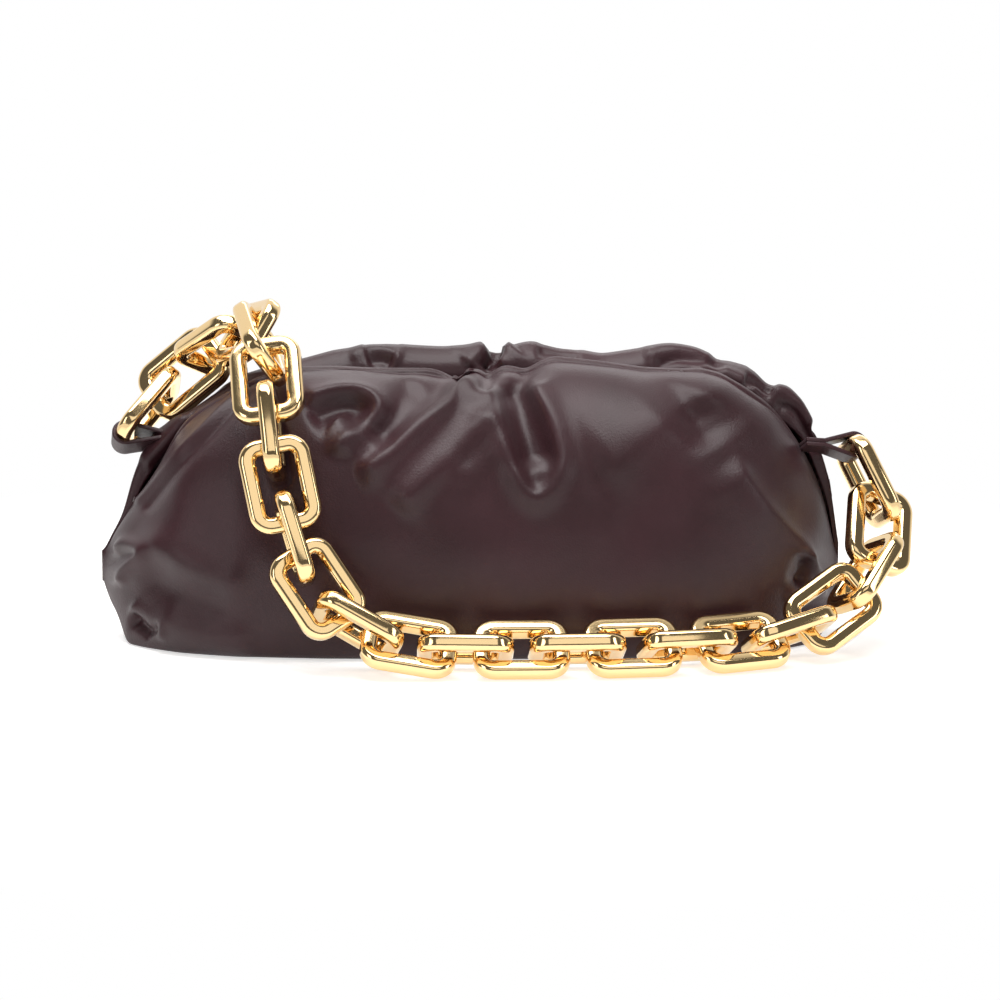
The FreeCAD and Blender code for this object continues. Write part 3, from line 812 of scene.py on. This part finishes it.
def add(tree, kind, inputs=None, **settings):
    """Adds one node; an input is a plain value or the output socket of another node."""
    node = tree.nodes.new(kind)
    for name, value in settings.items():
        setattr(node, name, value)
    for name, value in (inputs or {}).items():
        if isinstance(value, bpy.types.NodeSocket):
            tree.links.new(value, node.inputs[name])
        else:
            node.inputs[name].default_value = value
    return node


def new_material(name):
    material = bpy.data.materials.new(name)
    material.use_nodes = True
    tree = material.node_tree
    shader = tree.nodes["Principled BSDF"]
    return material, tree, shader


def object_place(tree):
    """The place on the object, in metres, that a texture is read at."""
    return add(tree, "ShaderNodeTexCoord").outputs["Object"]


def noise(tree, place, size_mm, detail, roughness=0.5):
    """A noise with lumps about as large as a size in millimetres."""
    inputs = {"Vector": place, "Scale": 1 / (size_mm * MM), "Detail": detail, "Roughness": roughness}
    return add(tree, "ShaderNodeTexNoise", inputs)


def colour_ramp(tree, factor, low, high, start=0.0, stop=1.0):
    ramp = add(tree, "ShaderNodeValToRGB", {"Fac": factor})
    ramp.color_ramp.elements[0].position = start
    ramp.color_ramp.elements[0].color = low
    ramp.color_ramp.elements[1].position = stop
    ramp.color_ramp.elements[1].color = high
    return ramp


def dress(piece, material):
    piece.data.materials.clear()
    piece.data.materials.append(material)


print("linear of mid grey %.3f" % linear("#808080")[0])

# %% [markdown]
# ### Drum-dyed lambskin
#
# The leather is a soft full-grain lambskin, dyed through in the drum and finished with a
# thin satin wax.  To the eye that is a dark plum brown with broad soft lights on every
# ridge, a fine pebble of pores under half a millimetre wide, and slow changes of tone
# where the hide took the dye unevenly.  The pores are drawn at 0.9 mm so that they show.

# %% Leather
lambskin, tree, shader = new_material("drum_dyed_lambskin_satin")
place = object_place(tree)
PORE_MM = 0.9
PORE_SHARE = 0.75
FINE_MM = 0.45
MOTTLE_MM = 45.0
GRAIN_DEPTH_MM = 0.25
pores = add(tree, "ShaderNodeTexVoronoi", {"Vector": place, "Scale": 1 / (PORE_MM * MM)}, feature="F1")
fine = noise(tree, place, FINE_MM, 3.0, 0.6)
mottle = noise(tree, place, MOTTLE_MM, 4.0, 0.55)
tone = colour_ramp(tree, mottle.outputs["Fac"], linear("#2C1317"), linear("#3B1E24"), 0.30, 0.72)
grain = add(tree, "ShaderNodeMath", {0: pores.outputs["Distance"], 1: PORE_SHARE}, operation="MULTIPLY")
grain = add(tree, "ShaderNodeMath", {0: grain.outputs[0], 1: fine.outputs["Fac"]}, operation="ADD")
rough = add(tree, "ShaderNodeMapRange", {"Value": fine.outputs["Fac"], "To Min": 0.33, "To Max": 0.46})
bump = add(tree, "ShaderNodeBump",
           {"Height": grain.outputs[0], "Strength": 0.30, "Distance": GRAIN_DEPTH_MM * MM})
tree.links.new(tone.outputs["Color"], shader.inputs["Base Color"])
tree.links.new(rough.outputs["Result"], shader.inputs["Roughness"])
tree.links.new(bump.outputs["Normal"], shader.inputs["Normal"])
shader.inputs["IOR"].default_value = 1.48
shader.inputs["Specular IOR Level"].default_value = 0.38
shader.inputs["Sheen Weight"].default_value = 0.06
shader.inputs["Sheen Roughness"].default_value = 0.4
for piece in (front_leather, back_leather, base_leather, left_tab, right_tab):
    dress(piece, lambskin)
print("leather on 5 pieces")

# %% [markdown]
# ### Polished gold plate
#
# The links are cast brass, polished and plated with a pale gold.  A polished metal has no
# colour of its own: it shows the room, tinted.  So the finish is a metal with a low
# roughness, and what makes it look like gold is what stands round it: light walls, dark
# gaps between them and the brown leather.

# %% Gold
gold, tree, shader = new_material("polished_pale_gold_plate")
place = object_place(tree)
HAZE_MM = 3.0
WAVE_MM = 9.0
WAVE_DEPTH_MM = 0.4
haze = noise(tree, place, HAZE_MM, 3.0, 0.6)
rough = add(tree, "ShaderNodeMapRange", {"Value": haze.outputs["Fac"], "To Min": 0.07, "To Max": 0.13})
wave = noise(tree, place, WAVE_MM, 1.0)
bump = add(tree, "ShaderNodeBump",
           {"Height": wave.outputs["Fac"], "Strength": 0.05, "Distance": WAVE_DEPTH_MM * MM})
tree.links.new(rough.outputs["Result"], shader.inputs["Roughness"])
tree.links.new(bump.outputs["Normal"], shader.inputs["Normal"])
shader.inputs["Base Color"].default_value = linear("#F0D09A")
shader.inputs["Metallic"].default_value = 1.0
for piece in chain_links:
    dress(piece, gold)
print("gold on", len(chain_links), "links")

# %% [markdown]
# ### Woven lining, nickel-plated steel and board
#
# The lining is a matt twill, with threads about 0.5 mm apart that are drawn at 1.8 mm.
# The frame is steel strip with a nickel plate, brushed along its length.  The board is
# plain grey-brown pressed paper.  All three are out of sight until the mouth opens.

# %% Lining, steel and board
twill, tree, shader = new_material("cotton_twill_lining_woven")
place = object_place(tree)
TWILL_SCALE = 1250.0 / math.tau
THREAD_DEPTH_MM = 0.15
threads = add(tree, "ShaderNodeTexWave",
              {"Vector": place, "Scale": TWILL_SCALE, "Distortion": 0.6, "Detail": 1.0},
              wave_type="BANDS", bands_direction="DIAGONAL")
tone = colour_ramp(tree, threads.outputs["Fac"], linear("#2C1C1B"), linear("#4A3432"))
bump = add(tree, "ShaderNodeBump",
           {"Height": threads.outputs["Fac"], "Strength": 0.3, "Distance": THREAD_DEPTH_MM * MM})
tree.links.new(tone.outputs["Color"], shader.inputs["Base Color"])
tree.links.new(bump.outputs["Normal"], shader.inputs["Normal"])
shader.inputs["Roughness"].default_value = 0.85
shader.inputs["IOR"].default_value = 1.46
for piece in (front_lining, back_lining):
    dress(piece, twill)

steel, tree, shader = new_material("nickel_plated_steel_brushed")
place = object_place(tree)
BRUSH_SCALE = (30.0, 2500.0, 2500.0)
stretch = add(tree, "ShaderNodeMapping", {"Vector": place, "Scale": BRUSH_SCALE})
brush = add(tree, "ShaderNodeTexNoise",
            {"Vector": stretch.outputs["Vector"], "Scale": 1.0, "Detail": 2.0})
rough = add(tree, "ShaderNodeMapRange", {"Value": brush.outputs["Fac"], "To Min": 0.22, "To Max": 0.38})
tree.links.new(rough.outputs["Result"], shader.inputs["Roughness"])
shader.inputs["Base Color"].default_value = linear("#C9C5BE")
shader.inputs["Metallic"].default_value = 1.0
for name in ("front_rail", "back_rail", "pin_left", "pin_right", "front_magnets", "back_magnets"):
    dress(frame["nodes"][name], steel)

board, tree, shader = new_material("pressed_paper_board")
place = object_place(tree)
FIBRE_MM = 1.2
fibre = noise(tree, place, FIBRE_MM, 5.0)
tone = colour_ramp(tree, fibre.outputs["Fac"], linear("#7A6650"), linear("#9C866A"))
tree.links.new(tone.outputs["Color"], shader.inputs["Base Color"])
shader.inputs["Roughness"].default_value = 0.9
dress(frame["nodes"]["base_board"], board)
print("lining, steel and board dressed")

# %% [markdown]
# ## Floor, light and what the gold mirrors
#
# The picture is a product shot on white paper.  The paper is white to the camera and in
# mirrors, and a faint shadow stays where the bag touches it.  Behind the bag a mirror sees
# a white backdrop too.  Everything else is a dim studio with a few large soft lamps.  That
# contrast is what makes gold look like metal and what gives the leather a light side and a
# dark side: in an all-white room both would turn grey.

# %% Paper floor
WIDE = 6.0
SHADOW_FULL = 0.22
SHADOW_REACH = 0.42
PAPER_LIFT = 0.62
FLOOR_DROP = 0.0004
WHITE = (1, 1, 1, 1)


def flat_sheet(name, width, height, material):
    """A rectangle dressed in a material, centred on its own origin."""
    mesh = bpy.data.meshes.new(name)
    a, b = width / 2, height / 2
    mesh.from_pydata([(-a, -b, 0), (a, -b, 0), (a, b, 0), (-a, b, 0)], [], [(0, 1, 2, 3)])
    item = bpy.data.objects.new(name, mesh)
    scene.collection.objects.link(item)
    dress(item, material)
    return item


paper, tree, shader = new_material("white_paper_floor")
ray = add(tree, "ShaderNodeLightPath")
place = object_place(tree)
reach = add(tree, "ShaderNodeVectorMath", {0: place}, operation="LENGTH")
near = add(tree, "ShaderNodeMapRange",
           {"Value": reach.outputs["Value"], "From Min": SHADOW_FULL, "From Max": SHADOW_REACH,
            "To Min": 1.0, "To Max": 0.0}, interpolation_type="SMOOTHSTEP")
matt = add(tree, "ShaderNodeBsdfDiffuse", {"Color": linear("#E4E2E0")})
glow = add(tree, "ShaderNodeEmission", {"Color": WHITE, "Strength": 1.0})
lift = add(tree, "ShaderNodeEmission", {"Color": WHITE, "Strength": PAPER_LIFT})
lifted = add(tree, "ShaderNodeAddShader", {0: lift.outputs[0], 1: matt.outputs[0]})
seen = add(tree, "ShaderNodeMixShader", {"Fac": near.outputs["Result"]})
tree.links.new(glow.outputs[0], seen.inputs[1])
tree.links.new(lifted.outputs[0], seen.inputs[2])
looked_at = add(tree, "ShaderNodeMath",
                {0: ray.outputs["Is Camera Ray"], 1: ray.outputs["Is Glossy Ray"]},
                operation="MAXIMUM")
whole = add(tree, "ShaderNodeMixShader", {"Fac": looked_at.outputs[0]})
tree.links.new(matt.outputs[0], whole.inputs[1])
tree.links.new(seen.outputs[0], whole.inputs[2])
tree.links.new(whole.outputs[0], tree.nodes["Material Output"].inputs["Surface"])
floor = flat_sheet("floor", WIDE, WIDE, paper)
floor.location.z = -FLOOR_DROP
print("paper floor", WIDE, "m wide")

# %% Dim studio round the bag
STUDIO_LEVEL = 0.13
BACKDROP_EDGE = 0.45
world = bpy.data.worlds.new("white_studio")
scene.world = world
world.use_nodes = True
tree = world.node_tree
ray = add(tree, "ShaderNodeLightPath")
sight = add(tree, "ShaderNodeTexCoord").outputs["Generated"]
way = add(tree, "ShaderNodeSeparateXYZ", {"Vector": sight})
behind = add(tree, "ShaderNodeMapRange",
             {"Value": way.outputs["Y"], "From Min": 0.0, "From Max": BACKDROP_EDGE},
             interpolation_type="SMOOTHSTEP")
mirrored = add(tree, "ShaderNodeMath",
               {0: behind.outputs["Result"], 1: ray.outputs["Is Glossy Ray"]}, operation="MULTIPLY")
looked_at = add(tree, "ShaderNodeMath",
                {0: ray.outputs["Is Camera Ray"], 1: mirrored.outputs[0]}, operation="MAXIMUM")
level = add(tree, "ShaderNodeMapRange",
            {"Value": looked_at.outputs[0], "To Min": STUDIO_LEVEL, "To Max": 1.0})
tree.links.new(level.outputs["Result"], tree.nodes["Background"].inputs["Strength"])
tree.nodes["Background"].inputs["Color"].default_value = WHITE
print("studio level", STUDIO_LEVEL)

# %% Lamps
BAG_MIDDLE = Vector((0, 0, 0.06))
# Name, place in metres, width and height in metres, watts
LAMPS = [
    ("overhead_softbox", (-0.10, -0.15, 1.20), 1.5, 0.7, 20.0),
    ("left_front_softbox", (-1.15, -1.10, 0.55), 0.5, 0.9, 4.0),
    ("right_strip", (1.35, -0.75, 0.50), 0.35, 0.9, 3.5),
    ("front_fill", (0.25, -1.70, 1.05), 1.6, 0.8, 4.0),
    ("back_rim_light", (0.25, 1.20, 0.95), 1.2, 0.4, 3.0)]


def lamp(name, place, width, height, watts):
    """A large soft lamp that looks at the middle of the bag."""
    data = bpy.data.lights.new(name, "AREA")
    data.shape = "RECTANGLE"
    data.size = width
    data.size_y = height
    data.energy = watts
    item = bpy.data.objects.new(name, data)
    item.location = place
    item.rotation_euler = (BAG_MIDDLE - Vector(place)).to_track_quat("-Z", "Y").to_euler()
    scene.collection.objects.link(item)


for row in LAMPS:
    lamp(*row)
scene.view_settings.view_transform = "Standard"
print(len(LAMPS), "lamps")
